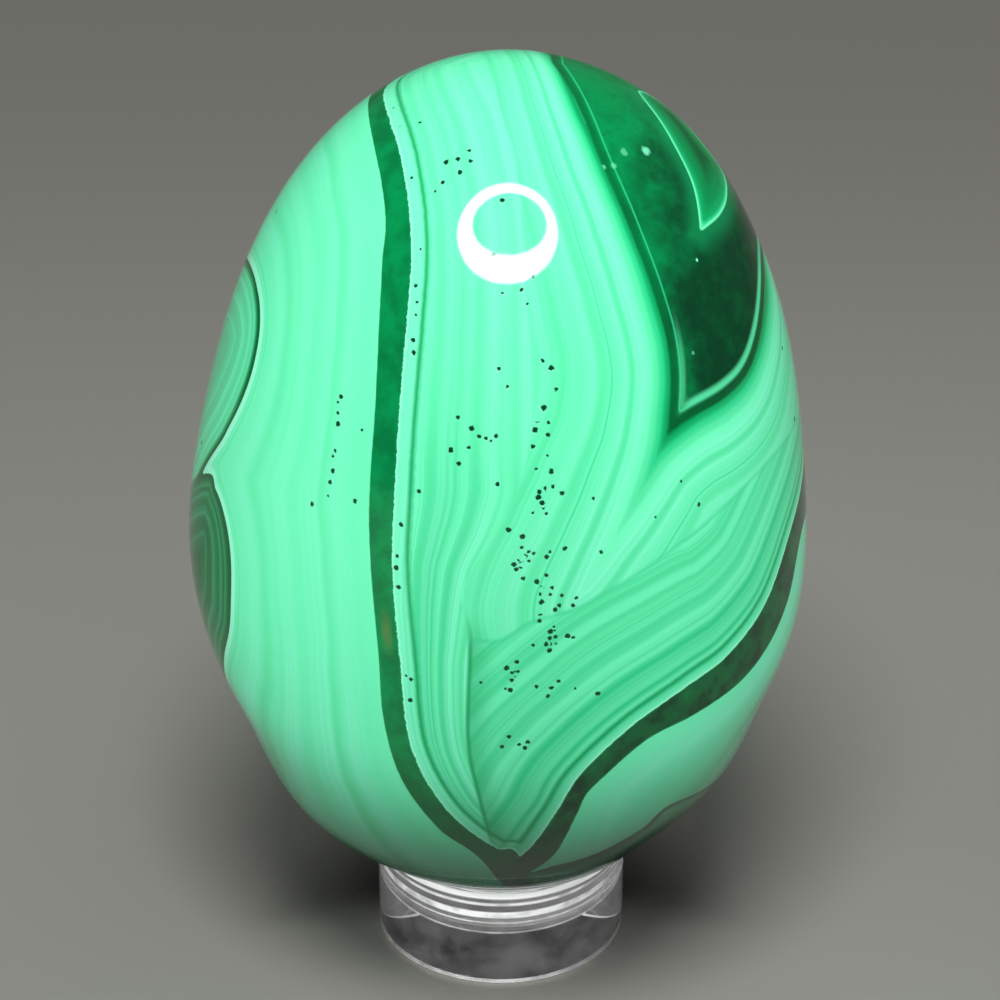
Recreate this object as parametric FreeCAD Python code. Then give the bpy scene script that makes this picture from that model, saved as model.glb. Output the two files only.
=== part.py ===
import FreeCAD, Part
import math
import os

# Polished stone egg standing blunt end down in a short clear ring. Millimetres, +Z up.
# The origin is on the ring's axis, on the surface that the ring stands on.
# The viewer of the photograph stands towards -Y, with +X to the right.

Vector = FreeCAD.Vector

# Egg, measured on its own axis before it leans
egg_radius = 29.2  # widest, at the equator
egg_lower_height = 36.8  # blunt end, from the equator down to the tip
egg_upper_height = 47.6  # tapering end, from the equator up to the tip
egg_fullness_share = 0.066  # how much the tapering end stands fuller than an ellipse at its tip
egg_lean = 1.0  # degrees, towards +X, as it settled in its seat

# Ring, turned from clear stock: its bore narrows to a waist from both ends
ring_radius = 12.5  # outside
ring_height = 10.8
ring_edge_break = 0.35  # small bevel on the two outside edges
waist_wall = 3.7  # wall at the waist, its thickest
waist_height = 4.8
foot_wall = 1.7  # wall at the foot

# Seat, a shallow cone turned into the top edge to the slope of the egg
rim_width = 0.9  # from the outside in to the seat
seat_width = 0.8  # measured across the wall
seat_clearance = 0.1  # between the egg and the cone, square to both

# How many points the tapering end's curve is drawn through
upper_points = 13

waist_radius = ring_radius - waist_wall
foot_radius = ring_radius - foot_wall
seat_outer_radius = ring_radius - rim_width
seat_inner_radius = seat_outer_radius - seat_width


def egg_depth(radius):
    """Height of the blunt end's surface above its tip, at a distance from the egg's axis."""
    return egg_lower_height * (1 - math.sqrt(1 - (radius / egg_radius) ** 2))


def egg_slope(radius):
    """Slope of the blunt end's surface there, as rise over run."""
    across = math.sqrt(1 - (radius / egg_radius) ** 2)
    return egg_lower_height * radius / (egg_radius**2 * across)


# The egg meets the cone half way across it, and the cone has the egg's slope there.
contact_radius = (seat_outer_radius + seat_inner_radius) / 2
contact_slope = egg_slope(contact_radius)
seat_depth = seat_width * contact_slope
contact_height = ring_height - seat_depth / 2
clearance_rise = seat_clearance * math.sqrt(1 + contact_slope**2)
tip_height = contact_height + clearance_rise - egg_depth(contact_radius)
equator_height = tip_height + egg_lower_height


def make_egg():
    """Two half profiles that meet at the equator, turned once round the axis, then leaned."""
    centre = Vector(0, 0, equator_height)
    equator = Vector(egg_radius, 0, equator_height)
    lower_tip = Vector(0, 0, tip_height)
    upper_tip = Vector(0, 0, equator_height + egg_upper_height)

    # Blunt end: a quarter of an ellipse
    ellipse = Part.Ellipse(lower_tip, equator, centre)
    lower = Part.Arc(ellipse, 0, math.pi / 2).toShape()

    # Tapering end: r = R cos(t) (1 + k sin(t)^2), z = H sin(t)
    points = []
    for i in range(upper_points):
        t = math.pi / 2 * i / (upper_points - 1)
        r = egg_radius * math.cos(t) * (1 + egg_fullness_share * math.sin(t) ** 2)
        z = equator_height + egg_upper_height * math.sin(t)
        points.append(Vector(r, 0, z))
    points[-1] = upper_tip
    curve = Part.BSplineCurve()
    curve.interpolate(Points=points, InitialTangent=Vector(0, 0, 1), FinalTangent=Vector(-1, 0, 0))
    upper = curve.toShape()

    axis = Part.makeLine(upper_tip, lower_tip)
    profile = Part.Face(Part.Wire([lower, upper, axis]))
    egg = profile.revolve(Vector(0, 0, 0), Vector(0, 0, 1), 360)

    # The blunt end is nearly a ball about this point, so the egg can lean there and keep its seat.
    across = math.sqrt(1 - (contact_radius / egg_radius) ** 2)
    below_equator = egg_lower_height * across * (1 - (egg_radius / egg_lower_height) ** 2)
    pivot = Vector(0, 0, equator_height - below_equator)
    return egg.rotate(pivot, Vector(0, 1, 0), egg_lean)


def make_ring():
    """One outline turned round the axis: foot, outside wall, rim, seat and the waisted bore."""
    outline = [
        (foot_radius, 0),
        (ring_radius - ring_edge_break, 0),
        (ring_radius, ring_edge_break),
        (ring_radius, ring_height - ring_edge_break),
        (ring_radius - ring_edge_break, ring_height),
        (seat_outer_radius, ring_height),
        (seat_inner_radius, ring_height - seat_depth),
        (waist_radius, waist_height),
    ]
    points = [Vector(r, 0, z) for r, z in outline]
    profile = Part.Face(Part.makePolygon(points + points[:1]))
    return profile.revolve(Vector(0, 0, 0), Vector(0, 0, 1), 360)


def write(name, shape):
    """One closed solid for each piece."""
    assert shape.isValid() and shape.Volume > 0
    shape.exportStep(os.path.join("parts", name + ".step"))
    box = shape.BoundBox
    print(name, "solids", len(shape.Solids), "volume", round(shape.Volume, 1), "box", box)


os.makedirs("parts", exist_ok=True)
malachite_egg = make_egg()
ring_stand = make_ring()
write("malachite_egg", malachite_egg)
write("ring_stand", ring_stand)
print("gap between egg and ring", round(malachite_egg.distToShape(ring_stand)[0], 4))
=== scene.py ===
import math

import bpy
import numpy as np
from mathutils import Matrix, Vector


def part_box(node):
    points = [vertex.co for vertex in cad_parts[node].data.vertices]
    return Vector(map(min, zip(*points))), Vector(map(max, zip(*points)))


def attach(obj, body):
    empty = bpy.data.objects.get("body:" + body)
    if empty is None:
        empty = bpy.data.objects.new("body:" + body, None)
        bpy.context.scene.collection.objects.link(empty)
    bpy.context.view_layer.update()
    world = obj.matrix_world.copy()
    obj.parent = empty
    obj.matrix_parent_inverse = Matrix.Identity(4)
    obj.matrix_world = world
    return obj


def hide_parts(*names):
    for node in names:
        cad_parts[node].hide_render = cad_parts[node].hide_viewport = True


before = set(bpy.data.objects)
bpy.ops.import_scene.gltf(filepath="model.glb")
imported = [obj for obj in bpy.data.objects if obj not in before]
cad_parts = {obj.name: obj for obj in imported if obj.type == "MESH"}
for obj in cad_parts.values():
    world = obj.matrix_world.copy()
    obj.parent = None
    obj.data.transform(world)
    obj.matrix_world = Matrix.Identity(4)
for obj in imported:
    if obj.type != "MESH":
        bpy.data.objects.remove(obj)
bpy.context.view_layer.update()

mm = 0.001


def tone(red, green, blue):
    # 0..255 as a screen shows it, turned into the linear value that a shader takes
    share = np.array([red, green, blue]) / 255
    return tuple(np.where(share < 0.04045, share / 12.92, ((share + 0.055) / 1.055) ** 2.4))


# Camera
# It looks at the middle of the egg's widest place from the front and above.

camera = {
    "distance": 300 * mm,
    "elevation": math.radians(28.5),
    "focalPixels": 3110,
    "picturePixels": 1000,
    "centrePixel": (500.9, 532),
    "sensor": 36,
    "clipStart": 10 * mm,
    "clipEnd": 20,
}

eggShape = {
    "lowerHeight": 36.8 * mm,  # blunt end, from the widest place down
    "upperHeight": 47.6 * mm,  # tapering end, from the widest place up
    "fullness": 0.066,  # how much the tapering end stands fuller than an ellipse
    "lean": math.radians(1.0),
    "pivotBelowWidest": 12.59 * mm,  # the lean turns about this place on the axis
    "rings": 236,
    "columns": 420,
    "frontDensity": 0.35,  # how much closer the columns stand at the front
    "evenBelow": (-32.8 * mm, -28.8 * mm),  # the swells fade out over these heights, above the seat
}

# The egg was ground by hand, so it stands fuller or flatter than its ideal shape in places:
# azimuth in degrees and height above the widest place, how far it spreads both ways, how much
eggSwells = [
    (-84, 1 * mm, 30, 8.5 * mm, 0.95 * mm),
    (-71, -17 * mm, 16, 3.6 * mm, -0.5 * mm),
    (-54, -26 * mm, 17, 3.6 * mm, 1.0 * mm),
    (71, -14.5 * mm, 18, 4.2 * mm, -0.7 * mm),
    (46, -28 * mm, 16, 3.4 * mm, -0.95 * mm),
    (88, 13 * mm, 24, 8 * mm, -0.35 * mm),
    (112, 41 * mm, 22, 4.5 * mm, 0.95 * mm),
]

eggLow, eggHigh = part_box("malachite_egg")
eggRadius = (eggHigh[1] - eggLow[1]) / 2
tipHeight = eggLow[2]
widestHeight = tipHeight + eggShape["lowerHeight"]
pivot = np.array([0, 0, widestHeight - eggShape["pivotBelowWidest"]])
leanCos, leanSin = math.cos(eggShape["lean"]), math.sin(eggShape["lean"])
# Turns a row of places on the upright egg into places on the leaning one
leanTurn = np.array([[leanCos, 0, -leanSin], [0, 1, 0], [leanSin, 0, leanCos]])


def addCamera():
    target = np.array([0, 0, widestHeight])
    rise = camera["elevation"]
    forward = np.array([0, math.cos(rise), -math.sin(rise)])
    place = target - camera["distance"] * forward
    lens = bpy.data.cameras.new("photoCamera")
    lens.sensor_width = camera["sensor"]
    lens.lens = camera["focalPixels"] / camera["picturePixels"] * camera["sensor"]
    half = camera["picturePixels"] / 2
    lens.shift_x = -(camera["centrePixel"][0] - half) / camera["picturePixels"]
    lens.shift_y = (camera["centrePixel"][1] - half) / camera["picturePixels"]
    lens.clip_start = camera["clipStart"]
    lens.clip_end = camera["clipEnd"]
    holder = bpy.data.objects.new("photoCamera", lens)
    holder.location = place
    holder.rotation_euler = (math.pi / 2 - rise, 0, 0)
    bpy.context.scene.collection.objects.link(holder)
    bpy.context.scene.camera = holder
    return place


cameraPlace = addCamera()
print("camera in place")


# Egg surface

def swellAt(azimuth, height):
    # A sum of soft humps: size x exp((cos(turn) - 1) / spread^2) x exp(-rise^2 / 2), with turn
    # and rise measured from the middle of the hump
    total = 0
    for middle, up, turnSpread, heightSpread, swell in eggSwells:
        turn = azimuth - math.radians(middle)
        wide = math.radians(turnSpread)
        rise = (height - up) / heightSpread
        total = total + swell * np.exp((np.cos(turn) - 1) / wide**2 - rise**2 / 2)
    low, high = eggShape["evenBelow"]
    fade = np.clip((height - low) / (high - low), 0, 1)
    return total * fade**2 * (3 - 2 * fade)


def fullRadius(azimuth, height):
    # The radius of the whole ellipse that the surface follows at this height: above the widest
    # place it grows as 1 + fullness rise^2, and everywhere the swells are added to it
    rise = np.clip(height / eggShape["upperHeight"], 0, 1)
    return eggRadius * (1 + eggShape["fullness"] * rise**2) + swellAt(azimuth, height)


def radiusAt(azimuth, height):
    # r = full radius x sqrt(1 - rise^2), where rise is the height as a share of the way to the tip
    height = np.asarray(height, float)
    reach = np.where(height < 0, eggShape["lowerHeight"], eggShape["upperHeight"])
    return fullRadius(azimuth, height) * np.sqrt(np.clip(1 - (height / reach) ** 2, 0, 1))


pathSettings = {
    "pulls": 4,  # how many times a place is drawn onto the surface
    "walkSteps": 900,  # along a line of sight
    "spanSteps": 60,  # between two points of a path
    "samples": 640,  # along a whole path
    "squareWithin": 1.2 * mm,  # the distance from a path is taken square to it as near as this
    "nearestRows": 8000,  # points worked on at a time
}


def leaned(points):
    # From the upright egg, measured from the middle of its widest place, to the real place
    return (points + [0, 0, widestHeight] - pivot) @ leanTurn + pivot


def unleaned(points):
    return (points - pivot) @ leanTurn.T + pivot - [0, 0, widestHeight]


def ontoEgg(points):
    # Draws places near the surface in or out, towards the middle, until they lie on it
    upright = unleaned(points)
    for pull in range(pathSettings["pulls"]):
        azimuth = np.arctan2(upright[:, 0], -upright[:, 1])
        height = upright[:, 2]
        reach = np.where(height < 0, eggShape["lowerHeight"], eggShape["upperHeight"])
        across = np.hypot(upright[:, 0], upright[:, 1]) / fullRadius(azimuth, height)
        upright = upright / np.sqrt(across**2 + (height / reach) ** 2)[:, None]
    return leaned(upright)


def placeOnEgg(azimuth, share):
    # azimuth in degrees, 0 at the front and 90 at +X; share of the height from tip to tip
    low, high = eggShape["lowerHeight"], eggShape["upperHeight"]
    height = -low + np.asarray(share, float) * (low + high)
    turn = np.radians(azimuth)
    across = radiusAt(turn, height)
    return leaned(np.stack([across * np.sin(turn), -across * np.cos(turn), height], -1))


def placeSeen(pixels):
    # Where the camera's line through each pixel first meets the egg: the line is walked in small
    # steps, and the place between the last step outside and the first inside is found by share.
    # A line that misses the egg gives the place where it passes nearest.
    pixels = np.asarray(pixels, float)
    across = (pixels[:, 0] - camera["centrePixel"][0]) / camera["focalPixels"]
    down = (pixels[:, 1] - camera["centrePixel"][1]) / camera["focalPixels"]
    rise = camera["elevation"]
    forward = np.array([0, math.cos(rise), -math.sin(rise)])
    upward = np.array([0, math.sin(rise), math.cos(rise)])
    ray = forward + across[:, None] * [1, 0, 0] - down[:, None] * upward
    ray /= np.linalg.norm(ray, axis=1, keepdims=True)
    reach = eggShape["upperHeight"]
    steps = camera["distance"] + np.linspace(-reach, reach, pathSettings["walkSteps"])
    walk = cameraPlace + steps[None, :, None] * ray[:, None, :]
    upright = unleaned(walk)
    azimuth = np.arctan2(upright[..., 0], -upright[..., 1])
    clear = np.hypot(upright[..., 0], upright[..., 1]) - radiusAt(azimuth, upright[..., 2])
    beyond = np.abs(upright[..., 2] - np.clip(upright[..., 2], -eggShape["lowerHeight"], reach))
    clear = clear + beyond
    inside = clear < 0
    first = np.where(inside.any(1), inside.argmax(1), clear.argmin(1))
    before = np.maximum(first - 1, 0)
    rows = np.arange(len(pixels))
    a, b = clear[rows, before], clear[rows, first]
    share = np.where(inside.any(1), a / np.where(a - b == 0, 1, a - b), 1)
    return walk[rows, before] + share[:, None] * (walk[rows, first] - walk[rows, before])


def bandQuads(row, nextRow, columns):
    # Four-sided faces between circles of points, given the number that each circle starts at
    here = np.arange(columns)
    after = (here + 1) % columns
    return np.stack([row + here, row + after, nextRow + after, nextRow + here], -1).reshape(-1, 4)


def eggGrid():
    # Rings from tip to tip, each a circle whose columns stand closer together at the front:
    # azimuth = turn - density sin(turn). A single point closes each tip.
    rings, columns = eggShape["rings"], eggShape["columns"]
    climb = np.linspace(-math.pi / 2, math.pi / 2, rings + 2)[1:-1]
    rise = np.sin(climb)
    height = np.where(rise < 0, eggShape["lowerHeight"], eggShape["upperHeight"]) * rise
    turn = np.linspace(-math.pi, math.pi, columns, endpoint=False)
    azimuth = turn - eggShape["frontDensity"] * np.sin(turn)
    height = height[:, None] + 0 * azimuth
    across = radiusAt(azimuth, height)
    grid = np.stack([across * np.sin(azimuth), -across * np.cos(azimuth), height], -1)
    tips = np.array([[0, 0, -eggShape["lowerHeight"]], [0, 0, eggShape["upperHeight"]]])
    points = leaned(np.concatenate([grid.reshape(-1, 3), tips]))

    row = np.arange(rings - 1)[:, None] * columns
    here = np.arange(columns)
    after = (here + 1) % columns
    quads = bandQuads(row, row + columns, columns)
    bottom, top = rings * columns, rings * columns + 1
    last = (rings - 1) * columns
    lowFan = np.stack([after, here, np.full(columns, bottom)], -1)
    highFan = np.stack([last + here, last + after, np.full(columns, top)], -1)
    return points, quads, np.concatenate([lowFan, highFan])


def meshObject(name, points, quads, fans=None):
    faces = quads.tolist() + (fans.tolist() if fans is not None else [])
    mesh = bpy.data.meshes.new(name)
    mesh.from_pydata(points.tolist(), [], faces)
    mesh.polygons.foreach_set("use_smooth", np.ones(len(faces), bool))
    mesh.update()
    piece = bpy.data.objects.new(name, mesh)
    bpy.context.scene.collection.objects.link(piece)
    return piece


# Where the stone's layers run
# "seen" holds pixels of the photograph, and "hidden" goes on round the back, as azimuth in
# degrees and share of the egg's height. A path that closes runs on from its end to its start.
# Its positive side is on the right of someone who walks along it on the stone, head outwards,
# where the note says right, and so on.

stonePaths = {
    # Left vein, down the front and up the back; right of it is positive
    "veinLeft": {
        "seen": [(373, 93), (383, 193), (382, 265), (376, 391), (369, 524), (378, 650), (384, 722),
                 (402, 780), (439, 829), (486, 865)],
        "hidden": [(18, 0.025), (150, 0.03), (176, 0.12), (186, 0.3), (190, 0.5), (192, 0.7),
                   (200, 0.87), (222, 0.955)],
    },
    "veinRight": {
        "seen": [(387, 86), (402, 163), (411, 240), (406, 330), (395, 483), (392, 565), (400, 661),
                 (411, 747), (445, 808), (494, 847), (520, 857)],
        "hidden": [(24, 0.04), (140, 0.05), (170, 0.13), (181, 0.3), (184.5, 0.5), (186, 0.7),
                   (192, 0.87), (205, 0.955)],
    },
    # Low vein, from under the egg up the right and on round the back
    "lowVeinUpper": {
        "seen": [(494, 862), (521, 856), (556, 813), (582, 773), (632, 726), (686, 687), (727, 656),
                 (765, 604), (792, 525), (804, 443)],
        "hidden": [(103, 0.57), (122, 0.64), (145, 0.67), (165, 0.655), (188, 0.6)],
        "open": True,
    },
    "lowVeinLower": {
        "seen": [(500, 882), (530, 872), (553, 856), (566, 836), (578, 812), (593, 787), (645, 741),
                 (697, 713), (741, 681), (768, 646), (788, 600), (802, 530)],
        "hidden": [(97, 0.49), (112, 0.585), (130, 0.635), (150, 0.645), (170, 0.62), (188, 0.565)],
        "open": True,
    },
    # The fold between the bands that follow the two veins; right of it is positive
    "fold": {
        "seen": [(484, 60), (503, 117), (517, 167), (527, 300), (533, 390), (526, 460), (507, 520),
                 (470, 573), (461, 600), (470, 637), (468, 740), (480, 800), (495, 850)],
        "open": True,
    },
    # From the fold up to the right; above it is positive
    "branch": {
        "seen": [(452, 640), (470, 640), (500, 640), (530, 623), (573, 610), (610, 590), (643, 570),
                 (700, 528), (760, 470), (800, 400)],
        "hidden": [(105, 0.62)],
        "open": True,
    },
    # Dark wedge, round its whole edge: down its left, up its right and over the back
    "wedge": {
        "seen": [(552, 62), (567, 84), (597, 151), (627, 221), (653, 290), (666, 335), (671, 373),
                 (670, 409), (668, 434), (690, 418), (725, 397), (747, 373), (760, 335), (764, 268)],
        "hidden": [(105, 0.79), (125, 0.86), (160, 0.93)],
        "corners": [0, 8],
    },
    # Its two sides drawn on past its point; away from the wedge is positive
    "wedgeSide": {
        "seen": [(543, 45), (567, 84), (597, 151), (627, 221), (653, 290), (666, 335), (671, 373),
                 (670, 409), (664, 460), (640, 540), (610, 610)],
        "open": True,
        "turned": True,
    },
    "wedgeFoot": {
        "seen": [(560, 560), (620, 490), (655, 446), (690, 418), (725, 397), (747, 373), (760, 335),
                 (764, 268)],
        "hidden": [(100, 0.82)],
        "open": True,
        "turned": True,
    },
    # Pale splinter inside the wedge
    "splinter": {
        "seen": [(638, 91), (669, 136), (693, 186), (700, 232), (719, 216), (727, 196), (722, 170),
                 (700, 140), (672, 108)],
        "corners": [3],
    },
    # Two eyes on the left rim, with the part of each that the photograph doesn't show
    "upperEye": {
        "seen": [(250, 264), (258, 292), (260, 325), (255, 360), (245, 393), (230, 425), (211, 457)],
        "hidden": [(-98, 0.36), (-118, 0.37), (-136, 0.44), (-142, 0.54), (-134, 0.65), (-114, 0.71)],
    },
    "lowerEye": {
        "seen": [(203, 474), (216, 490), (226, 522), (231, 560), (231, 600), (229, 632), (224, 662)],
        "hidden": [(-84, 0.2), (-100, 0.13), (-122, 0.13), (-138, 0.2), (-138, 0.29), (-118, 0.345)],
    },
    # Eyes on the back and far right
    "backEye": {
        "hidden": [(140, 0.5), (156, 0.44), (162, 0.34), (152, 0.24), (136, 0.22), (124, 0.3),
                   (122, 0.42), (128, 0.49)],
    },
    "sideEye": {
        "hidden": [(98, 0.36), (108, 0.31), (110, 0.22), (101, 0.17), (90, 0.21), (88, 0.3)],
    },
    "rearEye": {
        "hidden": [(-152, 0.74), (-143, 0.68), (-149, 0.58), (-152, 0.42), (-160, 0.36), (-167, 0.48),
                   (-165, 0.66)],
    },
    # Thin dark line along the low right rim
    "rimLine": {
        "seen": [(556, 869), (600, 855), (645, 829), (678, 803)],
        "hidden": [(80, 0.19), (100, 0.2), (130, 0.17), (160, 0.16), (176, 0.2)],
        "open": True,
    },
}


def pathPoints(path):
    places = []
    if "seen" in path:
        places.append(placeSeen(path["seen"]))
    if "hidden" in path:
        hidden = np.array(path["hidden"], float)
        places.append(placeOnEgg(hidden[:, 0], hidden[:, 1]))
    return np.concatenate(places)


def smoothPath(points, closed, corners=()):
    # A Catmull-Rom curve: each span is a cubic whose slope at a point is half the step between
    # its neighbours, or nothing where the path has a corner. Then it is stepped evenly.
    count = len(points)
    spans = count if closed else count - 1
    if closed:
        before, after = np.roll(points, 1, 0), np.roll(points, -1, 0)
    else:
        before = np.concatenate([points[:1], points[:-1]])
        after = np.concatenate([points[1:], points[-1:]])
    slope = (after - before) / 2
    for corner in corners:
        slope[corner] = 0
    t = np.linspace(0, 1, pathSettings["spanSteps"], endpoint=False)[None, :, None]
    start, stop = points[:spans], np.roll(points, -1, 0)[:spans]
    startSlope, stopSlope = slope[:spans], np.roll(slope, -1, 0)[:spans]
    curve = (
        start[:, None] * (2 * t**3 - 3 * t**2 + 1)
        + startSlope[:, None] * (t**3 - 2 * t**2 + t)
        + stop[:, None] * (3 * t**2 - 2 * t**3)
        + stopSlope[:, None] * (t**3 - t**2)
    ).reshape(-1, 3)
    knots = (np.arange(spans)[:, None] + t[0, :, 0]).ravel()
    curve = ontoEgg(np.concatenate([curve, points[:1] if closed else points[-1:]]))
    knots = np.append(knots, spans)
    travelled = np.concatenate([[0], np.cumsum(np.linalg.norm(np.diff(curve, axis=0), axis=1))])
    even = np.linspace(0, travelled[-1], pathSettings["samples"])
    evenPoints = ontoEgg(np.stack([np.interp(even, travelled, curve[:, k]) for k in range(3)], -1))
    return evenPoints, np.interp(even, travelled, knots)


def nearestOf(points, others):
    # For each point the number of the nearest of the others, some rows at a time
    nearest = np.empty(len(points), int)
    square = (others**2).sum(1)
    for start in range(0, len(points), pathSettings["nearestRows"]):
        rows = slice(start, start + pathSettings["nearestRows"])
        nearest[rows] = (square - 2 * points[rows] @ others.T).argmin(1)
    return nearest


def signedDistance(points, path, knotValues=None):
    # Distance from each point to the nearest place on the path. The sign says on which side:
    # outwards x direction of travel, dotted with the way to the point. Close to the path that
    # product is the distance itself, so the sign never flips with a jump.
    closed = not path.get("open")
    line, knots = smoothPath(pathPoints(path), closed, path.get("corners", ()))
    travel = np.gradient(line, axis=0)
    if closed:
        travel[0] = travel[-1] = line[1] - line[-2]
    travel /= np.linalg.norm(travel, axis=1, keepdims=True)
    outward = line - [0, 0, widestHeight]
    outward[:, 2] *= eggRadius / eggShape["upperHeight"]
    side = np.cross(outward, travel)
    side /= np.linalg.norm(side, axis=1, keepdims=True)
    nearest = nearestOf(points, line)
    gap = points - line[nearest]
    along = (gap * travel[nearest]).sum(1)
    step = np.linalg.norm(line[1] - line[0])
    slid = np.clip(along, -step, step)
    off = np.sqrt(np.maximum((gap**2).sum(1) - slid**2, 0))
    beside = (gap * side[nearest]).sum(1)
    apart = np.clip(np.abs(beside) / pathSettings["squareWithin"], 0, 1)
    distance = np.sign(beside) * (off * apart + np.abs(beside) * (1 - apart))
    nearestKnot = knots[nearest] + slid / step * (knots[-1] / len(knots))
    if path.get("turned"):
        distance = -distance
    if knotValues is None:
        return distance
    return distance, np.interp(nearestKnot, np.arange(len(knotValues)), knotValues)


# How far apart the bands lie, as the distance from a path to where its bands end, for each of
# the path's points in turn, in mm
bandReach = {
    "veinRight": [10.5, 11.2, 12, 13, 14.5, 10.5, 7.6, 6.8, 6, 5.4, 5, 6, 8, 10, 12, 13, 14, 14, 12],
    "lowVeinUpper": [16, 16, 16.5, 17, 17, 16.5, 16, 15.5, 15, 15, 15, 15, 15, 15, 15],
    "wedgeSide": [8, 8.5, 10.5, 12, 13.2, 13.6, 13.8, 14, 15, 16, 16],
    "wedgeFoot": [18, 17, 16, 15.5, 15.5, 15.5, 15.5, 15.5, 15.5],
}

# Groups of small pits in the stone: middle and spread in pixels of the photograph, and how many
pitGroups = [
    ((545, 362), (5, 12), 4),
    ((546, 425), (9, 26), 9),
    ((545, 500), (11, 18), 15),
    ((534, 550), (20, 14), 15),
    ((552, 596), (26, 16), 11),
    ((549, 637), (15, 8), 15),
    ((512, 672), (8, 18), 8),
    ((552, 690), (32, 22), 7),
    ((513, 742), (12, 8), 6),
    ((476, 440), (26, 44), 13),
    ((455, 154), (34, 28), 9),
    ((655, 520), (70, 38), 6),
    ((500, 290), (34, 26), 5),
]

# Pits that stand alone left of the left vein, as pixels of the photograph
pitSpots = [(341, 397), (338, 402), (338, 413), (338, 424), (362, 430), (335, 451), (333, 456),
            (333, 471), (330, 482), (328, 496), (355, 501), (312, 504)]

pitShape = {
    "apart": 0.45 * mm,
    "sets": 4,
    "apartInSet": 1.9 * mm,
    "reach": 0.6,  # a pit and its rim end inside this many mm
    "smallest": 0.12 * mm,
    "largest": 0.25 * mm,
    "seed": 4,
    "spreadShare": 0.75,
    "rowCount": 18,  # along the pale strip beside the left vein
    "rowPart": (0.0, 0.3),  # as shares of the vein's length
    "rowOff": (0.35, 0.95),  # how far into the strip, in mm
    "backCount": 60,  # strewn over the sides that the photograph doesn't show
    "backTurns": (75, 285),
    "backShares": (0.15, 0.9),
    "edge": (0.04, -0.05),  # a pit's rim goes from stone to dark over this, in mm
    "chips": 0.3,
}


def pitPlaces():
    random = np.random.default_rng(pitShape["seed"])
    places = []

    def keep(place):
        if all(np.linalg.norm(place - other) > pitShape["apart"] for other in places):
            places.append(place)

    for middle, spread, count in pitGroups:
        scatter = random.normal(size=(count, 2)) * spread * pitShape["spreadShare"] + middle
        for place in placeSeen(scatter):
            keep(place)
    for place in placeSeen(pitSpots):
        keep(place)
    strip, _ = smoothPath(pathPoints(stonePaths["veinRight"]), True)
    inward = placeSeen([(420, 300)])[0] - placeSeen([(408, 300)])[0]
    inward /= np.linalg.norm(inward)
    row = np.sort(random.uniform(*pitShape["rowPart"], pitShape["rowCount"]))
    for share, off in zip(row, random.uniform(*pitShape["rowOff"], pitShape["rowCount"])):
        keep(strip[int(share * len(strip))] + inward * off * mm)
    turns = random.uniform(*pitShape["backTurns"], pitShape["backCount"])
    shares = random.uniform(*pitShape["backShares"], pitShape["backCount"])
    for place in placeOnEgg(turns, shares):
        keep(place)
    sizes = random.uniform(pitShape["smallest"], pitShape["largest"], len(places))
    return np.array(places), sizes


def addField(mesh, name, values):
    vector = values.ndim == 2
    field = mesh.attributes.new(name, "FLOAT_VECTOR" if vector else "FLOAT", "POINT")
    field.data.foreach_set("vector" if vector else "value", values.astype(np.float32).ravel())


def addStoneFields(mesh, points):
    # Each field is a distance in mm from a path, so the shader can draw crisp edges and bands
    far = {}
    reach = {}
    for name, path in stonePaths.items():
        if name in bandReach:
            far[name], reach[name] = signedDistance(points, path, bandReach[name])
        else:
            far[name] = signedDistance(points, path)
        far[name] = far[name] / mm
    for name in ("veinLeft", "veinRight", "lowVeinUpper", "lowVeinLower", "fold", "branch", "wedge",
                 "splinter", "rimLine"):
        addField(mesh, name, far[name])
    addField(mesh, "foldLeft", far["veinRight"] / reach["veinRight"])
    addField(mesh, "foldRight", far["lowVeinUpper"] / reach["lowVeinUpper"])
    side = far["wedgeSide"] / reach["wedgeSide"]
    foot = far["wedgeFoot"] / reach["wedgeFoot"]
    addField(mesh, "aroundWedge", np.maximum(side, foot))
    darkEyes = np.maximum.reduce([-far[n] for n in ("lowerEye", "backEye", "sideEye")])
    addField(mesh, "eyes", np.maximum.reduce([-far["upperEye"], darkEyes, -far["rearEye"]]))
    addField(mesh, "darkEyes", darkEyes)

    # Pits that lie close together go into different sets, so that in each set the nearest pit
    # stays the same all round it
    places, sizes = pitPlaces()
    member = np.zeros(len(places), int)
    for i in range(1, len(places)):
        gaps = np.linalg.norm(places[:i] - places[i], axis=1)
        room = [np.min(gaps[member[:i] == k], initial=1.0) for k in range(pitShape["sets"])]
        member[i] = np.argmax(np.array(room) > pitShape["apartInSet"])
        if max(room) <= pitShape["apartInSet"]:
            member[i] = np.argmax(room)
    for k in range(pitShape["sets"]):
        setPlaces, setSizes = places[member == k], sizes[member == k]
        nearest = nearestOf(points, setPlaces)
        addField(mesh, "pitPlace%d" % k, setPlaces[nearest])
        addField(mesh, "pitNear%d" % k, np.linalg.norm(points - setPlaces[nearest], axis=1) / mm)
        addField(mesh, "pitSize%d" % k, setSizes[nearest] / mm)


# Shader building

stoneTones = {
    "whiteMint": tone(150, 255, 212),
    "paleMint": tone(124, 250, 200),
    "mint": tone(110, 246, 187),
    "softGreen": tone(92, 232, 168),
    "emerald": tone(44, 205, 138),
    "deepGreen": tone(10, 160, 92),
    "veinGreen": tone(0, 138, 74),
    "darkVein": tone(0, 92, 46),
    "nightGreen": tone(4, 58, 32),
    # painted shade inside the pits
    "pitShade": tone(2, 62, 36),
    "tawny": tone(104, 122, 66),
    # painted shade for the downward-facing lower belly, multiplied into the stone's colour
    "lowShade": tone(120, 112, 106),
}


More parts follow.
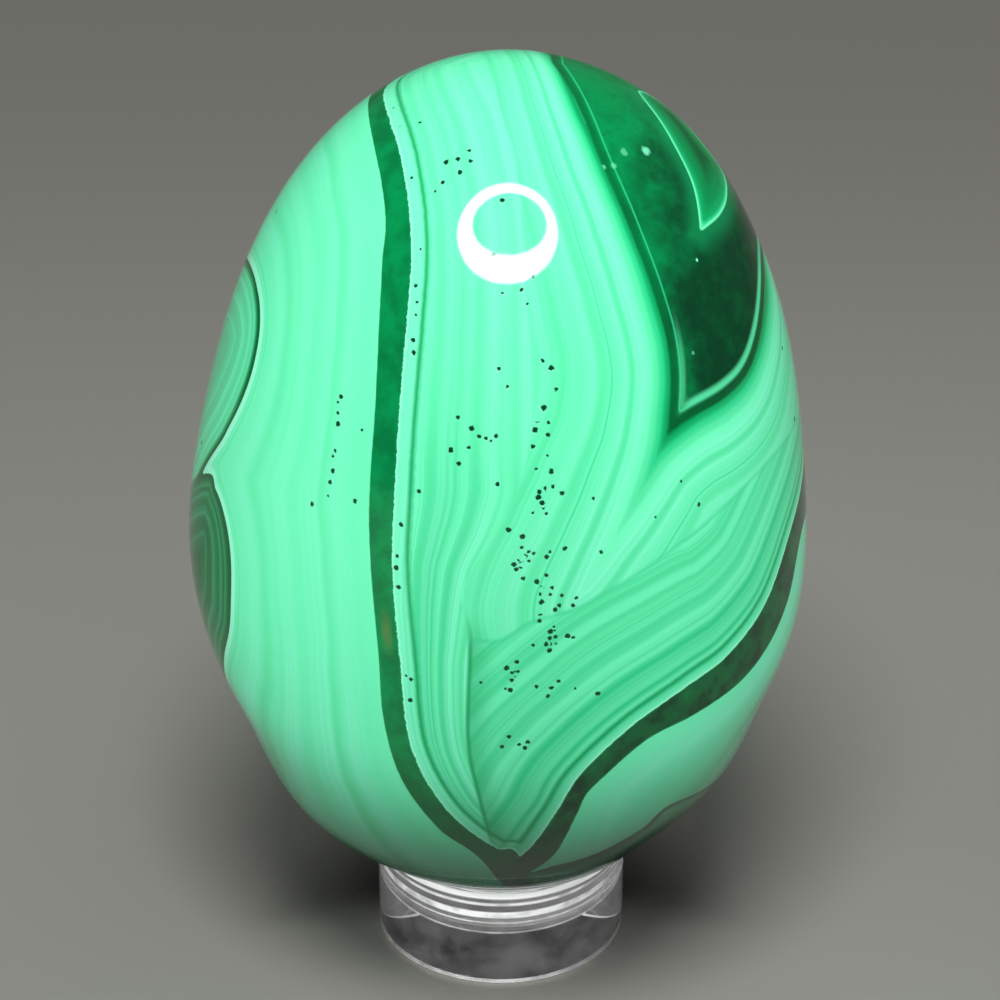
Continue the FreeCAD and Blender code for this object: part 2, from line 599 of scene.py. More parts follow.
class nodeBench:
    # Puts nodes into one material and joins them. Where a colour is due it takes a tone's name.
    def __init__(self, name):
        self.material = bpy.data.materials.new(name)
        self.material.use_nodes = True
        self.tree = self.material.node_tree
        self.tree.nodes.clear()

    def put(self, kind, **settings):
        node = self.tree.nodes.new("ShaderNode" + kind)
        for key, value in settings.items():
            setattr(node, key, value)
        return node

    def feed(self, socket, value):
        if isinstance(value, bpy.types.NodeSocket):
            self.tree.links.new(value, socket)
        elif socket.type == "RGBA":
            socket.default_value = (*stoneTones.get(value, value), 1)
        else:
            socket.default_value = value

    def maths(self, operation, first, second=0.0, third=None, clamp=False):
        node = self.put("Math", operation=operation, use_clamp=clamp)
        self.feed(node.inputs[0], first)
        self.feed(node.inputs[1], second)
        if third is not None:
            self.feed(node.inputs[2], third)
        return node.outputs[0]

    def times(self, first, second):
        return self.maths("MULTIPLY", first, second)

    def plus(self, first, second):
        return self.maths("ADD", first, second)

    def less(self, first, second, clamp=False):
        return self.maths("SUBTRACT", first, second, clamp=clamp)

    def least(self, first, second):
        return self.maths("MINIMUM", first, second)

    def most(self, first, second):
        return self.maths("MAXIMUM", first, second)

    def timesPlus(self, first, second, third):
        return self.maths("MULTIPLY_ADD", first, second, third)

    def spotIn(self, unit):
        # The place on the object in that unit, and the same split into x, y and z
        scaled = self.put("VectorMath", operation="SCALE")
        self.feed(scaled.inputs[0], self.put("TexCoord").outputs["Object"])
        scaled.inputs["Scale"].default_value = 1 / unit
        parts = self.put("SeparateXYZ")
        self.feed(parts.inputs[0], scaled.outputs["Vector"])
        return scaled.outputs["Vector"], parts.outputs["X"], parts.outputs["Y"], parts.outputs["Z"]

    def fromAxis(self, x, y):
        return self.maths("SQRT", self.timesPlus(y, y, self.times(x, x)))

    def distance(self, first, second):
        node = self.put("VectorMath", operation="DISTANCE")
        self.feed(node.inputs[0], first)
        self.feed(node.inputs[1], second)
        return node.outputs["Value"]

    def bump(self, height, strength, depth):
        node = self.put("Bump")
        self.feed(node.inputs["Height"], height)
        node.inputs["Strength"].default_value = strength
        node.inputs["Distance"].default_value = depth
        return node.outputs["Normal"]

    def finish(self, kind, output, inputs):
        # One shader, fed by the names of its sockets, and the material's output
        shader = self.put(kind)
        for name, value in inputs.items():
            self.feed(shader.inputs[name], value)
        self.feed(self.put("OutputMaterial").inputs["Surface"], shader.outputs[output])
        return self.material

    def field(self, name):
        node = self.put("Attribute", attribute_type="GEOMETRY", attribute_name=name)
        return node.outputs["Fac"]

    def place(self, name):
        node = self.put("Attribute", attribute_type="GEOMETRY", attribute_name=name)
        return node.outputs["Vector"]

    def rise(self, value, low, high, to=1.0):
        # 0 below low and to above high, smooth between; low may be the larger
        node = self.put("MapRange", interpolation_type="SMOOTHSTEP", clamp=True)
        self.feed(node.inputs["Value"], value)
        ends = sorted([(low, 0), (high, to)])
        for which, (at, gives) in zip(("Min", "Max"), ends):
            node.inputs["From " + which].default_value = at
            node.inputs["To " + which].default_value = gives
        return node.outputs["Result"]

    def line(self, value, middle, half, soft):
        # 1 on a line of that half width round the middle, 0 off it
        off = self.maths("ABSOLUTE", self.less(value, middle))
        return self.rise(off, half + soft, max(half - soft, 0))

    def mix(self, share, first, second, blend="MIX"):
        node = self.put("Mix", data_type="RGBA", blend_type=blend, clamp_factor=True)
        self.feed(node.inputs["Factor"], share)
        self.feed(node.inputs[6], first)
        self.feed(node.inputs[7], second)
        return node.outputs[2]

    def ramp(self, value, *bands):
        # Bands are positions from 0 to 1 and the names of tones, in turn
        node = self.put("ValToRGB")
        elements = node.color_ramp.elements
        node.color_ramp.interpolation = "EASE"
        positions, names = bands[::2], bands[1::2]
        while len(elements) < len(positions):
            elements.new(1.0)
        for element, position in zip(elements, positions):
            element.position = position
        for element, name in zip(elements, names):
            element.color = (*stoneTones[name], 1)
        self.feed(node.inputs["Fac"], value)
        return node.outputs["Color"]

    def noise(self, scale, detail=2.0, roughness=0.5, vector=None, along=None, distortion=0.0):
        dimensions = "1D" if along is not None else "3D"
        node = self.put("TexNoise", noise_dimensions=dimensions)
        if along is not None:
            self.feed(node.inputs["W"], along)
        else:
            self.feed(node.inputs["Vector"], vector)
        node.inputs["Scale"].default_value = scale
        node.inputs["Detail"].default_value = detail
        node.inputs["Roughness"].default_value = roughness
        node.inputs["Distortion"].default_value = distortion
        return node.outputs["Fac"]


# Heights and depths in mm
stoneLayers = {
    "wander": 0.05,  # how far the bands stray, as a share of their reach
    "ragged": 0.28,
    "eyeDepth": 12.0,  # from an eye's edge in to where its rings end
    "splinterDepth": 4.0,
    "calmAbove": (52.0, 76.0),  # the bands beside the vein grow fainter over these heights
    "tawnyPatch": 49.5,
    "shadeOver": (38.0, 18.0),  # painted shade: the stone's colour is darkened towards the seat, where the belly faces down
    "shade": 0.95,
}

stoneFinish = {
    "polish": 0.028,
    "scratchedPolish": 0.07,
    "lightBending": 1.5,
    "pitBump": 0.6,
    "pitDepth": 0.05 * mm,
}


# Cloudy pale blots in the wedge: pixel of the photograph, size in mm and how strong
cloudyBlots = [
    ((646, 151), 0.6, 0.7),
    ((624, 152), 0.5, 0.35),
    ((603, 167), 0.4, 0.6),
    ((614, 166), 0.35, 0.35),
    ((697, 260), 0.22, 1.0),
    ((693, 353), 0.25, 0.35),
]


def stoneMaterial():
    bench = nodeBench("bandedMalachite")
    layers = stoneLayers
    far, noise, ramp, mix = bench.field, bench.noise, bench.ramp, bench.mix
    rise, line, least, most = bench.rise, bench.line, bench.least, bench.most
    times, plus, less, timesPlus = bench.times, bench.plus, bench.less, bench.timesPlus
    spot, acrossMm, _, upMm = bench.spotIn(mm)

    drift = noise(0.09, 2, 0.5, vector=spot)  # slow wander that bends and fades the lines
    ripple = noise(1.4, 3, 0.6, vector=spot)  # small raggedness of the edges
    drift = less(drift, 0.5)
    ripple = less(ripple, 0.5)

    def wandering(value, amount):
        return timesPlus(drift, amount, value)

    def lined(colour, value, name, *lines, share=None):
        # Lines of random width and strength across the bands: how many, how soft, how strong
        for count, soft, strength in lines:
            here = rise(noise(count, 3, 0.65, along=value), 0.5 + soft, 0.5 - soft, strength)
            if share is not None:
                here = times(here, share)
            colour = mix(here, colour, name)
        return colour

    # Bands right of the left vein, up to the fold
    besideVein = wandering(far("foldLeft"), layers["wander"])
    besideColour = ramp(besideVein,
        0.0, "mint", 0.1, "paleMint", 0.17, "mint", 0.23, "softGreen", 0.3, "paleMint",
        0.38, "softGreen", 0.44, "mint", 0.5, "softGreen", 0.57, "paleMint", 0.66, "mint",
        0.73, "softGreen", 0.8, "paleMint", 0.88, "mint", 0.95, "softGreen", 1.0, "mint")
    calm = rise(upMm, *layers["calmAbove"])
    calmer = plus(rise(besideVein, 0.85, 0.35, 0.7), 0.3)
    calmer = times(calmer, timesPlus(calm, -0.7, 1.0))
    besideColour = mix(times(calm, 0.55), besideColour, "mint")
    besideColour = lined(besideColour, besideVein, "emerald", (11, 0.1, 0.6), (26, 0.16, 0.22),
                         share=calmer)

    # Bands above the low vein, up to the branch
    aboveLow = wandering(far("foldRight"), layers["wander"])
    aboveColour = ramp(aboveLow,
        0.0, "mint", 0.08, "emerald", 0.11, "mint", 0.16, "emerald", 0.19, "mint",
        0.26, "softGreen", 0.3, "emerald", 0.34, "mint", 0.44, "mint", 0.49, "softGreen",
        0.53, "mint", 0.61, "softGreen", 0.7, "mint", 0.78, "softGreen", 0.86, "mint",
        0.93, "softGreen", 1.0, "mint")
    aboveColour = lined(aboveColour, aboveLow, "emerald", (11, 0.12, 0.5), (32, 0.18, 0.22))

    # Bands round the wedge
    aroundWedge = wandering(far("aroundWedge"), layers["wander"])
    aroundColour = ramp(aroundWedge,
        0.0, "veinGreen", 0.03, "deepGreen", 0.07, "emerald", 0.12, "softGreen", 0.16, "mint",
        0.2, "paleMint", 0.25, "paleMint", 0.29, "softGreen", 0.33, "paleMint", 0.42, "mint",
        0.5, "softGreen", 0.56, "paleMint", 0.68, "mint", 0.74, "softGreen", 0.8, "mint",
        1.0, "mint")
    aroundColour = lined(aroundColour, aroundWedge, "emerald", (9, 0.1, 0.24), (30, 0.16, 0.14))
    thinLines = rise(noise(13, 2, 0.5, along=aroundWedge), 0.36, 0.3, 0.6)
    aroundColour = mix(thinLines, aroundColour, "emerald")

    leftOfFold = rise(far("fold"), 0.12, -0.12)
    overBranch = rise(far("branch"), -0.2, 0.2)
    middle = mix(overBranch, aboveColour, aroundColour)
    middle = mix(leftOfFold, middle, besideColour)
    # The fold is a dark line below the branch, and the branch a faint one
    foldLine = line(far("fold"), 0.0, 0.16, 0.2)
    foldLow = rise(far("branch"), 3.2, -1.5, 0.9)
    middle = mix(times(foldLine, foldLow), middle, "deepGreen")
    foldShade = times(rise(far("fold"), 2.8, 0.0, 0.5), foldLow)
    foldShade = times(foldShade, rise(far("fold"), -0.1, 0.1))
    middle = mix(foldShade, middle, "deepGreen")
    branchLine = times(line(far("branch"), 0.0, 0.1, 0.3), 0.4)
    branchHere = times(branchLine, rise(far("fold"), -0.1, 0.2))
    middle = mix(branchHere, middle, "emerald")

    # Pale strip and thin dark line along both veins
    ragged = times(ripple, layers["ragged"])
    alongVein = least(far("veinRight"), far("lowVeinUpper"))
    alongVein = timesPlus(ripple, 0.16, alongVein)
    teeth = less(noise(3.4, 2, 0.6, vector=spot), 0.5)
    fromVein = plus(far("veinRight"), timesPlus(teeth, 0.3, ragged))
    fromLow = plus(far("lowVeinUpper"), ragged)
    nearVein = least(fromVein, fromLow)
    middle = mix(rise(nearVein, 1.15, 0.9, 0.3), middle, "paleMint")
    middle = mix(rise(nearVein, 0.28, 0.1), middle, "whiteMint")
    middle = mix(times(line(alongVein, 1.45, 0.06, 0.34), 0.9), middle, "deepGreen")
    middle = mix(times(line(nearVein, 1.75, 0.06, 0.08), 0.5), middle, "emerald")

    # Left of the left vein: bands run from the vein to the eyes
    fromLeft = times(far("veinLeft"), -1.0)
    eyes = far("eyes")
    toEyes = times(eyes, -1.0)
    share = bench.maths("DIVIDE", fromLeft, plus(fromLeft, most(toEyes, 0.0)))
    share = wandering(share, 0.08)
    leftColour = ramp(share,
        0.0, "mint", 0.1, "mint", 0.2, "paleMint", 0.28, "softGreen", 0.31, "paleMint",
        0.45, "mint", 0.52, "paleMint", 0.62, "mint", 0.7, "softGreen", 0.76, "paleMint",
        0.9, "mint", 1.0, "mint")
    leftColour = lined(leftColour, share, "softGreen", (12, 0.14, 0.25), (38, 0.18, 0.18))
    leftColour = mix(rise(upMm, 35.0, 50.0, 0.4), leftColour, "mint")
    leftColour = mix(rise(toEyes, 0.75, 0.5), leftColour, "whiteMint")
    leftColour = mix(line(toEyes, 1.3, 0.05, 0.08), leftColour, "softGreen")

    # Below the low vein
    below = times(far("lowVeinLower"), -1.0)
    belowShare = bench.maths("DIVIDE", below, plus(below, most(toEyes, 0.0)))
    belowShare = wandering(belowShare, 0.08)
    belowColour = ramp(belowShare,
        0.0, "mint", 0.12, "paleMint", 0.3, "mint", 0.42, "softGreen", 0.47, "paleMint",
        0.6, "mint", 0.72, "emerald", 0.76, "paleMint", 0.88, "softGreen", 0.93, "mint",
        1.0, "mint")
    belowColour = lined(belowColour, belowShare, "softGreen", (12, 0.12, 0.3))
    belowColour = mix(rise(toEyes, 1.0, 0.75), belowColour, "whiteMint")
    rimWide = rise(acrossMm, 20.0, 6.0, 0.8)
    offRim = less(bench.maths("ABSOLUTE", far("rimLine")), rimWide)
    belowColour = mix(rise(offRim, 0.5, 0.1, 0.95), belowColour, "darkVein")
    # Painted shade: below the rim line the stone is darkened, as the low rim near the seat faces down
    belowRimShade = rise(far("rimLine"), 0.0, -0.3, 0.7)
    belowColour = mix(belowRimShade, belowColour, "deepGreen")

    # Which side of the veins a place is on
    rightOfVein = rise(far("veinRight"), -0.05, 0.05)
    aboveLowVein = rise(far("lowVeinUpper"), -0.05, 0.05)
    colour = mix(aboveLowVein, belowColour, middle)
    colour = mix(rightOfVein, leftColour, colour)

    # The wedge: thin pale line inside its outline, then green going over to near black, cloudy
    inWedge = far("wedge")
    cloud = noise(0.22, 4, 0.6, vector=spot)
    towardsDark = rise(timesPlus(cloud, 14.0, acrossMm), 16.5, 25.0)
    deep = mix(towardsDark, "veinGreen", "nightGreen")
    smudge = noise(0.5, 5, 0.65, vector=spot)
    deep = mix(rise(smudge, 0.42, 0.7, 0.4), deep, "darkVein")
    deep = mix(rise(smudge, 0.5, 0.25, 0.35), deep, "nightGreen")
    deep = mix(rise(inWedge, 1.1, 0.3, 0.7), deep, "darkVein")
    faint = times(line(inWedge, 1.0, 0.05, 0.12), 0.7)
    deep = mix(faint, deep, "emerald")
    atFoot = times(line(inWedge, 1.2, 0.25, 0.35), rise(upMm, 79.0, 74.0, 0.8))
    atFoot = times(atFoot, rise(acrossMm, 14.5, 17.0))
    deep = mix(atFoot, deep, "softGreen")
    splinter = far("splinter")
    deep = mix(rise(splinter, -2.6, 0.0, 0.5), deep, "deepGreen")
    inSplinter = ramp(bench.maths("DIVIDE", splinter, layers["splinterDepth"]),
        0.0, "softGreen", 0.06, "emerald", 0.16, "deepGreen", 0.4, "veinGreen", 1.0, "darkVein")
    deep = mix(rise(splinter, -0.1, 0.15), deep, inSplinter)
    deep = mix(line(splinter, 0.12, 0.08, 0.12), deep, "mint")
    blotPlaces = placeSeen([seen for seen, size, strength in cloudyBlots]) / mm
    for (seen, size, strength), place in zip(cloudyBlots, blotPlaces):
        away = timesPlus(ripple, size, bench.distance(spot, place))
        deep = mix(rise(away, size, size * 0.4, strength), deep, "paleMint")
    insideWedge = rise(timesPlus(ripple, 0.15, inWedge), -0.2, 0.12)
    colour = mix(insideWedge, colour, deep)

    # The eyes: rings within rings
    ringShare = bench.maths("DIVIDE", wandering(eyes, 0.8), layers["eyeDepth"])
    ringColour = ramp(ringShare,
        0.0, "darkVein", 0.03, "darkVein", 0.055, "deepGreen", 0.085, "softGreen",
        0.115, "deepGreen", 0.16, "softGreen", 0.18, "emerald", 0.21, "deepGreen",
        0.26, "emerald", 0.29, "mint", 0.33, "deepGreen", 0.4, "veinGreen", 0.45, "emerald",
        0.5, "deepGreen", 0.6, "darkVein", 0.68, "veinGreen", 0.8, "darkVein", 1.0, "nightGreen")
    ringColour = lined(ringColour, ringShare, "veinGreen", (30, 0.12, 0.4))
    darkEye = rise(far("darkEyes"), -0.4, 0.2)
    lightEye = times(rise(ringShare, 0.05, 0.11, 0.62), less(1.0, darkEye))
    ringColour = mix(lightEye, ringColour, "mint")
    lowEye = times(darkEye, 0.72)
    ringColour = mix(lowEye, ringColour, "darkVein")
    colour = mix(rise(eyes, -0.05, 0.05), colour, ringColour)

    # The veins themselves
    insideLeft = plus(far("veinLeft"), times(ripple, 0.1))
    inVein = least(insideLeft, times(fromVein, -1.0))
    lowEdge = plus(far("lowVeinLower"), times(ripple, 0.1))
    inLow = least(lowEdge, times(fromLow, -1.0))
    inLow = least(inLow, less(far("veinLeft"), 0.3))
    streak = noise(0.4, 3, 0.55, vector=spot)
    veinColour = mix(rise(streak, 0.65, 0.35, 0.6), "veinGreen", "darkVein")
    lowColour = ramp(streak,
        0.0, "nightGreen", 0.35, "nightGreen", 0.6, "darkVein", 1.0, "veinGreen")
    veinColour = mix(rise(upMm, 42.0, 26.0, 0.6), veinColour, "darkVein")
    tawny = times(line(upMm, layers["tawnyPatch"], 1.4, 1.5), rise(inVein, 0.3, 0.9, 0.5))
    veinColour = mix(tawny, veinColour, "tawny")
    veinColour = mix(rise(less(inLow, inVein), -0.1, 0.1), veinColour, lowColour)
    inEither = most(inVein, inLow)
    veinColour = mix(rise(inEither, 0.25, 0.0, 0.6), veinColour, "veinGreen")
    colour = mix(rise(inEither, -0.05, 0.05), colour, veinColour)

    # Painted shade: the colour is multiplied darker towards the seat, for the shade on the belly that
    # faces down
    paintedLowShade = rise(upMm, *layers["shadeOver"], layers["shade"])
    colour = mix(paintedLowShade, colour, "lowShade", blend="MULTIPLY")

    # Pits: discs about the nearest pit of each set, kept only where it really is near. Their dark
    # colour is painted shade inside each small hollow.
    metres = bench.put("TexCoord").outputs["Object"]
    chipped = less(noise(4.5, 2, 0.5, vector=spot), 0.5)
    pit = 0.0
    for k in range(pitShape["sets"]):
        fromPit = times(bench.distance(metres, bench.place("pitPlace%d" % k)), 1 / mm)
        fromPit = timesPlus(chipped, pitShape["chips"], fromPit)
        outside = less(fromPit, far("pitSize%d" % k))
        near = rise(far("pitNear%d" % k), pitShape["reach"] + 0.15, pitShape["reach"])
        inPit = times(rise(outside, *pitShape["edge"]), near)
        pit = most(inPit, pit)
    colour = mix(pit, colour, "pitShade")

    haze = noise(0.35, 4, 0.7, vector=spot)
    roughness = bench.put("MapRange")
    bench.feed(roughness.inputs["Value"], haze)
    roughness.inputs["To Min"].default_value = stoneFinish["polish"]
    roughness.inputs["To Max"].default_value = stoneFinish["scratchedPolish"]
    return bench.finish("BsdfPrincipled", "BSDF", {
        "Base Color": colour,
        "Roughness": roughness.outputs["Result"],
        "Normal": bench.bump(times(pit, -1.0), stoneFinish["pitBump"], stoneFinish["pitDepth"]),
        "IOR": stoneFinish["lightBending"],
    })


def addEgg():
    points, quads, fans = eggGrid()
    egg = meshObject("polishedEgg", points, quads, fans)
    addStoneFields(egg.data, points)
    egg.data.materials.append(stoneMaterial())
    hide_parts("malachite_egg")
    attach(egg, "egg")
    print("egg:", len(quads) * 2 + len(fans), "triangles")


addEgg()


# Ring

_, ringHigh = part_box("ring_stand")

ringShape = {
    "radius": ringHigh[0],
    "height": ringHigh[2],
    "waist": 8.8 * mm,
    "waistHeight": 4.8 * mm,
    "foot": 10.8 * mm,  # the bore's radius there
    "seatOuter": 11.6 * mm,
    "seatInner": 10.8 * mm,
    "seatDepth": 0.419 * mm,
    "edge": 0.35 * mm,
    "columns": 256,
    "sharpFrom": math.radians(20),
}

ringFinish = {
    "tint": (0.97, 0.98, 0.98),
    "polish": 0.015,
    "turned": 0.07,  # what the turned half and the scuffs add to the roughness
    "scuffed": 0.1,
    "lightBending": 1.49,
    "grooveBump": 0.35,
    "grooveDepth": 0.03 * mm,
    # How milky each place looks, from 0 to 1: the turned half at least, the rest, the bevels.
    # The bevels' milk is a painted highlight for the lamp's glint on the edges
    "turnedMilk": 0.02,
    "haze": 0.05,
    "edgeGlint": 0.6,
    # Where they set in, in mm from the axis or up
    "turnedWithin": (11.85, 11.65),
    "turnedAbove": (4.6, 5.0),
    "bevelsBeyond": (12.0, 12.1),
    "lowBevel": (0.42, 0.34),
    "highBevel": (10.38, 10.46),
}

# Painted highlights: bands of the turned half that are milky enough to look white, standing
# for the lamp's glints in the clear wall: height and half width in mm, and how milky
glintBands = [
    (4.8, 0.1, 0.8),
    (6.2, 0.08, 0.75),
    (7.3, 0.42, 1.0),
    (8.8, 0.2, 0.8),
    (10.0, 0.5, 0.6),
]


def clearMaterial():
    # Polished outside. The seat and the bore's upper half are left as turned: satin, with fine
    # grooves round the axis. A few bands there and the bevels are milky white: painted highlights
    # that stand for the lamp's glints in the clear wall. Scuffs are faint and run any way, and the
    # whole ring has a thin haze.
    bench = nodeBench("clearAcrylic")
    noise, rise, times, plus, most = bench.noise, bench.rise, bench.times, bench.plus, bench.most
    finish = ringFinish
    spot, x, y, upMm = bench.spotIn(mm)
    fromAxis = bench.fromAxis(x, y)
    turned = times(rise(fromAxis, *finish["turnedWithin"]), rise(upMm, *finish["turnedAbove"]))
    grooves = noise(5.0, 3, 0.7, along=plus(fromAxis, upMm))
    scuffs = noise(1.6, 4, 0.75, vector=spot, distortion=1.5)
    patches = noise(0.3, 3, 0.6, vector=spot)
    scuffed = rise(scuffs, 0.5, 0.8, finish["scuffed"])
    roughness = bench.timesPlus(turned, finish["turned"], scuffed)
    roughness = plus(roughness, finish["polish"])
    milkAndGlints = finish["turnedMilk"]
    # Painted highlights: milky white bands that stand for the lamp's glints
    for height, half, milk in glintBands:
        milkAndGlints = most(milkAndGlints, times(bench.line(upMm, height, half, 0.12), milk))
    uneven = noise(0.45, 2, 0.5, vector=spot)
    milkAndGlints = times(milkAndGlints, plus(rise(uneven, 0.35, 0.6, 0.5), 0.5))
    milkAndGlints = times(milkAndGlints, turned)
    # Painted highlight: the outer bevels turn milky white for the lamp's glint on the edges
    bevelGlint = most(rise(upMm, *finish["lowBevel"]), rise(upMm, *finish["highBevel"]))
    bevelGlint = times(rise(fromAxis, *finish["bevelsBeyond"], finish["edgeGlint"]), bevelGlint)
    milkAndGlints = most(milkAndGlints, bevelGlint)
    milkAndGlints = plus(milkAndGlints, rise(patches, 0.2, 0.8, finish["haze"]))
    grooved = bench.bump(times(grooves, turned), finish["grooveBump"], finish["grooveDepth"])
    return bench.finish("BsdfPrincipled", "BSDF", {
        "Base Color": finish["tint"],
        "Roughness": roughness,
        "Normal": grooved,
        "IOR": finish["lightBending"],
        "Transmission Weight": bench.less(1.0, milkAndGlints, clamp=True),
    })


def addRing():
    # The wall's outline, from the foot round the outside and down the bore, carried round the axis
    s = ringShape
    outline = np.array([
        (s["foot"], 0),
        (s["radius"] - s["edge"], 0),
        (s["radius"], s["edge"]),
        (s["radius"], s["height"] - s["edge"]),
        (s["radius"] - s["edge"], s["height"]),
        (s["seatOuter"], s["height"]),
        (s["seatInner"], s["height"] - s["seatDepth"]),
        (s["waist"], s["waistHeight"]),
    ])
    turn = np.linspace(0, 2 * math.pi, s["columns"], endpoint=False)
    points = np.stack([
        outline[:, :1] * np.cos(turn),
        outline[:, :1] * np.sin(turn),
        outline[:, 1:] + 0 * turn,
    ], -1).reshape(-1, 3)
    row = np.arange(len(outline))[:, None] * s["columns"]
    quads = bandQuads(row, np.roll(row, -1, 0), s["columns"])
    ring = meshObject("clearRing", points, quads)
    ring.data.set_sharp_from_angle(angle=s["sharpFrom"])
    ring.data.materials.append(clearMaterial())
    ring.visible_shadow = False  # so light falls straight through the clear wall
    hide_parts("ring_stand")
    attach(ring, "stand")
    print("ring:", len(quads) * 2, "triangles")


addRing()


# Floor and light

studio = {
    "floorHalf": 3.0,
    "floorDrop": 0.02 * mm,
    "floorTone": tone(212, 211, 202),
    "floorFarShade": tone(170, 169, 162),  # towards the back, between these two places
    "shadeStart": -50 * mm,
    "shadeEnd": 260 * mm,
    "floorShade": tone(112, 112, 108),  # what the floor sends back up
    "floorRoughness": 0.6,
    "floorShine": 0.5,
    "nookReach": 20 * mm,  # how near a thing must be to keep the light out
    "nookSamples": 12,
    "nookDark": 0.5,  # the share of open air at which the floor is black, and is fully lit
    "nookOpen": 0.88,
    "nookFront": -4 * mm,
    "nookBack": 6 * mm,
    "nookRingEdge": (0.7 * mm, 0.1 * mm),  # inside the ring's outer wall
    "sky": 0.12,
    "skyMirrored": 0.07,  # what the polished stone reflects of the sky
    "skyThroughRing": 0.02,  # how much lighter it looks through the clear ring
    "lampReach": 300 * mm,
    "lampElevation": math.radians(60),
    "lampAim": 50 * mm,  # height of the place that it faces
    # Half widths across and up, seen from the egg, in degrees. The opening sits off the middle.
    "lampOuter": (19.4, 15.9),
    "lampInner": (14.2, 10.1),
    "lampInnerShift": (0.8, 2.2),
    "lampStrength": 22,
    "lampColumns": 96,
}

# Broad soft lights round the egg, which its polish doesn't mirror: azimuth and elevation in
# degrees, watts, and what it lights
softLights = [
    (-4, 62, 3.2, "all"),
    (-4, 62, 1.6, "the floor"),
    (-8, 16, 5.2, "not the floor"),
    (-84, 30, 3.6, "not the floor"),
    (86, 44, 5.6, "not the floor"),
    (178, 38, 2.6, "not the floor"),
    (-4, 12, 4.5, "the ring"),
]
softLightReach = 900 * mm
softLightSize = 420 * mm


def addFloor():
    # The camera, mirror images and looks through the ring see it pale. What it throws back up
    # on the egg is darker, as from the photographed surface.
    half, level = studio["floorHalf"], -studio["floorDrop"]
    signs = ((-1, -1), (1, -1), (1, 1), (-1, 1))
    corners = np.array([(x * half, y * half, level) for x, y in signs])
    floor = meshObject("paleFloor", corners, np.array([[0, 1, 2, 3]]))
    bench = nodeBench("paleFloor")
    diffuse = bench.put("LightPath").outputs["Is Diffuse Ray"]
    # It darkens towards the back, as the photographed surface does
    _, x, y, _ = bench.spotIn(1)  # in metres
    # Painted shade: the darkening stands for the light falling off towards the back
    farShade = bench.rise(y, studio["shadeStart"], studio["shadeEnd"])
    seen = bench.mix(farShade, studio["floorTone"], studio["floorFarShade"])
    # Close under the egg and round the ring hardly any light gets in, but from the front it
    # reaches in as far as the ring
    nook = bench.put("AmbientOcclusion", samples=studio["nookSamples"])
    nook.inputs["Distance"].default_value = studio["nookReach"]
    uncovered = bench.rise(nook.outputs["AO"], studio["nookDark"], studio["nookOpen"])
    ringEdge = [ringShape["radius"] - off for off in studio["nookRingEdge"]]
    beyondRing = bench.rise(bench.fromAxis(x, y), *ringEdge)
    inFront = bench.rise(y, studio["nookBack"], studio["nookFront"])
    uncovered = bench.most(uncovered, bench.times(beyondRing, inFront))
    seen = bench.mix(uncovered, (0, 0, 0), seen)
    floor.data.materials.append(bench.finish("BsdfPrincipled", "BSDF", {
        "Base Color": bench.mix(diffuse, seen, studio["floorShade"]),
        "Roughness": studio["floorRoughness"],
        "Specular IOR Level": bench.times(uncovered, studio["floorShine"]),
    }))


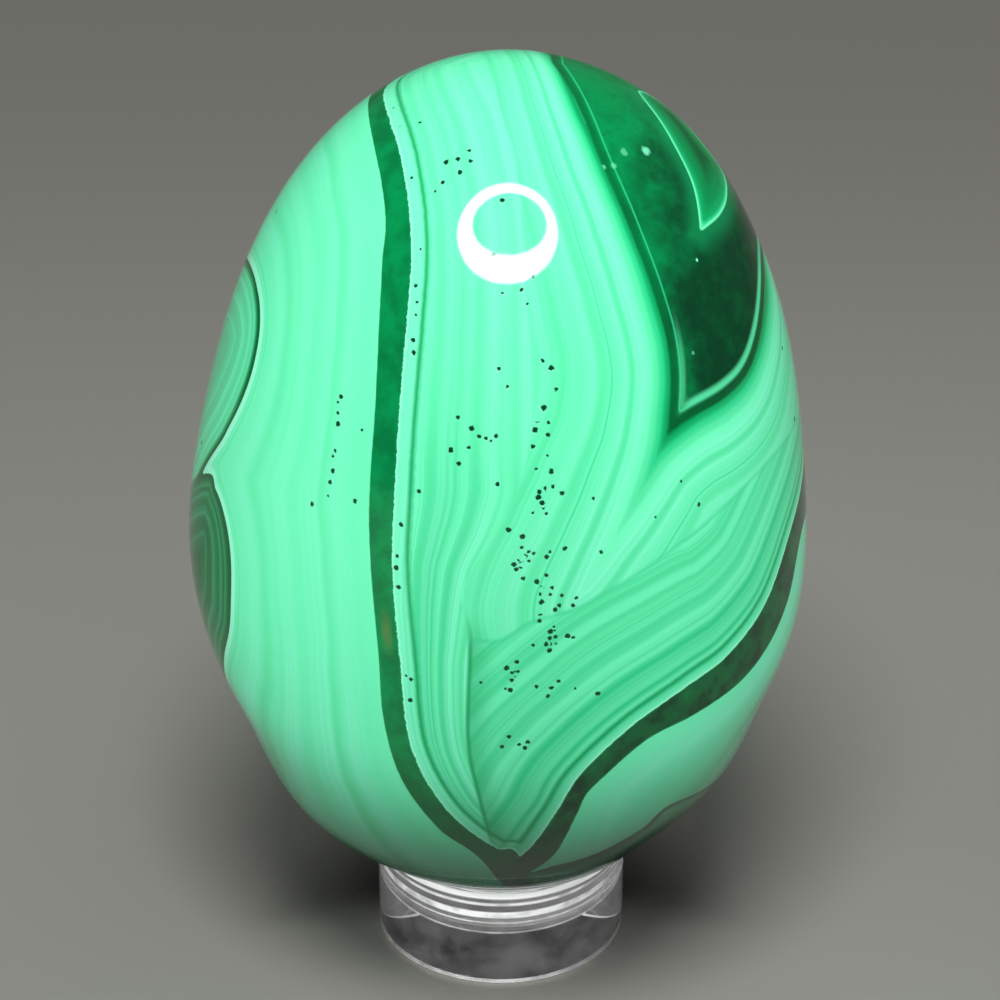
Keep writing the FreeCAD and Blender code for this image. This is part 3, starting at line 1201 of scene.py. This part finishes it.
def addLamp():
    # A flat ring that faces the egg from above the camera. It is there for its mirror image in the
    # stone and the clear ring, and the soft lights do the lighting.
    rise, reach = studio["lampElevation"], studio["lampReach"]
    middle = np.array([0, -reach * math.cos(rise), studio["lampAim"] + reach * math.sin(rise)])
    axis = np.array([0, math.cos(rise), -math.sin(rise)])
    side = np.array([1, 0, 0])
    up = np.cross(side, axis)
    turn = np.linspace(0, 2 * math.pi, studio["lampColumns"], endpoint=False)
    across, climb = np.cos(turn)[:, None], np.sin(turn)[:, None]
    outerWide, outerHigh = np.tan(np.radians(studio["lampOuter"])) * reach
    innerWide, innerHigh = np.tan(np.radians(studio["lampInner"])) * reach
    shiftWide, shiftHigh = np.tan(np.radians(studio["lampInnerShift"])) * reach
    outer = middle + outerWide * across * side + outerHigh * climb * up
    inner = middle + (innerWide * across + shiftWide) * side + (innerHigh * climb + shiftHigh) * up
    lamp = meshObject("ringLamp", np.concatenate([outer, inner]), bandQuads(0, len(turn), len(turn)))
    strength = {"Strength": studio["lampStrength"]}
    glow = nodeBench("ringLamp").finish("Emission", "Emission", strength)
    lamp.data.materials.append(glow)
    lamp.visible_camera = False
    lamp.visible_diffuse = False


def addSoftLights():
    for azimuth, elevation, power, lights in softLights:
        turn, rise = math.radians(azimuth), math.radians(elevation)
        light = bpy.data.lights.new("softLight", "AREA")
        light.shape = "DISK"
        light.size = softLightSize
        light.energy = power
        holder = bpy.data.objects.new("softLight", light)
        level = math.cos(rise)
        away = np.array([level * math.sin(turn), -level * math.cos(turn), math.sin(rise)])
        holder.location = softLightReach * away + [0, 0, widestHeight]
        holder.rotation_euler = (math.pi / 2 - rise, 0, turn)
        holder.visible_glossy = False
        holder.visible_transmission = False
        bpy.context.scene.collection.objects.link(holder)
        if lights != "all":
            # A light may leave the floor out, or reach one object only
            chosen = bpy.data.collections.new("chosenForLight")
            named = "clearRing" if lights == "the ring" else "paleFloor"
            chosen.objects.link(bpy.data.objects[named])
            if lights == "not the floor":
                chosen.collection_objects[0].light_linking.link_state = "EXCLUDE"
            holder.light_linking.receiver_collection = chosen


def addSky():
    # Even light from all round. Reflections see a darker room, as round the photographed egg.
    world = bpy.data.worlds.new("softRoom")
    world.use_nodes = True
    tree = world.node_tree
    background = tree.nodes["Background"]
    background.inputs["Color"].default_value = (1, 1, 1, 1)
    ray = tree.nodes.new("ShaderNodeLightPath")
    mirrored = tree.nodes.new("ShaderNodeMapRange")
    mirrored.inputs["To Min"].default_value = studio["sky"]
    mirrored.inputs["To Max"].default_value = studio["skyMirrored"]
    tree.links.new(ray.outputs["Is Glossy Ray"], mirrored.inputs["Value"])
    level = tree.nodes.new("ShaderNodeMath")
    level.operation = "MULTIPLY_ADD"
    level.inputs[1].default_value = studio["skyThroughRing"]
    tree.links.new(ray.outputs["Is Transmission Ray"], level.inputs[0])
    tree.links.new(mirrored.outputs["Result"], level.inputs[2])
    tree.links.new(level.outputs["Value"], background.inputs["Strength"])
    bpy.context.scene.world = world


addFloor()
addLamp()
addSoftLights()
addSky()
bpy.context.scene.view_settings.view_transform = "Standard"
print("floor and light in place")
